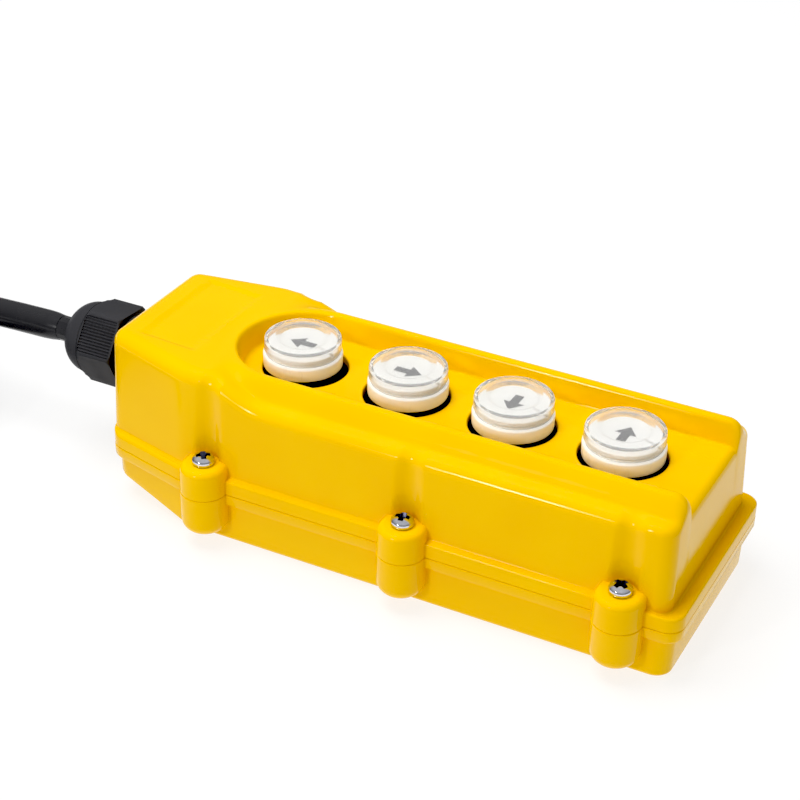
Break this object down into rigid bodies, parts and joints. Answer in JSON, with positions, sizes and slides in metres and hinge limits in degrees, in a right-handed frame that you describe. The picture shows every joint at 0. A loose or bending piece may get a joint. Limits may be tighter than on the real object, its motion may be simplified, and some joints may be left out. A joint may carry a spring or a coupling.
{
  "type": "pendant control station",
  "caption": "Handheld pendant control station for a hoist: yellow housing, round push buttons in a guarded trough, cable gland and black cord",
  "frame": {"origin": "on the flat back that the station lies on, midway along the housing's belt and on its centre line", "axes": "+X along the housing from the cable gland to the far end, +Z out through the button faces, +Y to the left when looking along +X"},
  "size_m": [0.422, 0.1622, 0.0665],
  "materials": {
    "yellow_housing": "semi-gloss moulded yellow",
    "cream_plastic": "cream moulded plastic",
    "clear_lens": "clear moulded plastic",
    "white_legend": "white legend plate with a grey arrow",
    "black_plastic": "black moulded plastic",
    "black_nylon": "satin black nylon",
    "black_rubber": "black rubber",
    "cord_sheath": "satin black cord sheath",
    "bright_zinc": "bright zinc plate",
    "plated_steel": "plated steel",
    "contact_brass": "plain brass",
    "core_brown": "brown core insulation",
    "core_black": "black core insulation",
    "core_grey": "grey core insulation",
    "core_blue": "blue core insulation",
    "core_green": "green and yellow core insulation"
  },
  "bodies": {
    "station": {"front_cover": "yellow_housing", "rear_cover": "yellow_housing", "housing_gasket": "black_rubber", "cover_screw_1": "bright_zinc", "cover_screw_2": "bright_zinc", "cover_screw_3": "bright_zinc", "cover_screw_4": "bright_zinc", "cover_screw_5": "bright_zinc", "cover_screw_6": "bright_zinc", "return_spring_1": "plated_steel", "return_spring_2": "plated_steel", "return_spring_3": "plated_steel", "return_spring_4": "plated_steel", "button_boot_1": "black_rubber", "button_boot_2": "black_rubber", "button_boot_3": "black_rubber", "button_boot_4": "black_rubber", "contact_block_1": "black_plastic", "contact_block_2": "black_plastic", "contact_block_3": "black_plastic", "contact_block_4": "black_plastic", "mounting_plate": "plated_steel", "plate_screw_1": "bright_zinc", "plate_screw_2": "bright_zinc", "plate_screw_3": "bright_zinc", "plate_screw_4": "bright_zinc", "gland_body": "black_nylon", "gland_washer": "black_rubber", "gland_locknut": "black_nylon", "gland_seal": "black_rubber", "gland_nut": "black_nylon", "cord_inner": "cord_sheath", "cord_run": "cord_sheath", "cord_coil": "cord_sheath", "cord_end": "cord_sheath", "cord_core_1": "core_brown", "cord_core_2": "core_black", "cord_core_3": "core_grey", "cord_core_4": "core_blue", "cord_core_5": "core_green"},
    "button_1": {"button_cup_1": "cream_plastic", "button_lens_1": "clear_lens", "button_insert_1": "white_legend", "button_plunger_1": "black_plastic", "contact_bridge_1": "contact_brass"},
    "button_2": {"button_cup_2": "cream_plastic", "button_lens_2": "clear_lens", "button_insert_2": "white_legend", "button_plunger_2": "black_plastic", "contact_bridge_2": "contact_brass"},
    "button_3": {"button_cup_3": "cream_plastic", "button_lens_3": "clear_lens", "button_insert_3": "white_legend", "button_plunger_3": "black_plastic", "contact_bridge_3": "contact_brass"},
    "button_4": {"button_cup_4": "cream_plastic", "button_lens_4": "clear_lens", "button_insert_4": "white_legend", "button_plunger_4": "black_plastic", "contact_bridge_4": "contact_brass"}
  },
  "joints": [
    {"name": "press_1", "type": "slide", "parent": "station", "child": "button_1", "axis": [0, 0, -1], "range_m": [0, 0.0042], "stiffness_N_per_m": 900, "springref_m": -0.002, "deforming": ["return_spring_1"]},
    {"name": "press_2", "type": "slide", "parent": "station", "child": "button_2", "axis": [0, 0, -1], "range_m": [0, 0.0042], "stiffness_N_per_m": 900, "springref_m": -0.002, "deforming": ["return_spring_2"]},
    {"name": "press_3", "type": "slide", "parent": "station", "child": "button_3", "axis": [0, 0, -1], "range_m": [0, 0.0042], "stiffness_N_per_m": 900, "springref_m": -0.002, "deforming": ["return_spring_3"]},
    {"name": "press_4", "type": "slide", "parent": "station", "child": "button_4", "axis": [0, 0, -1], "range_m": [0, 0.0042], "stiffness_N_per_m": 900, "springref_m": -0.002, "deforming": ["return_spring_4"]}
  ]
}
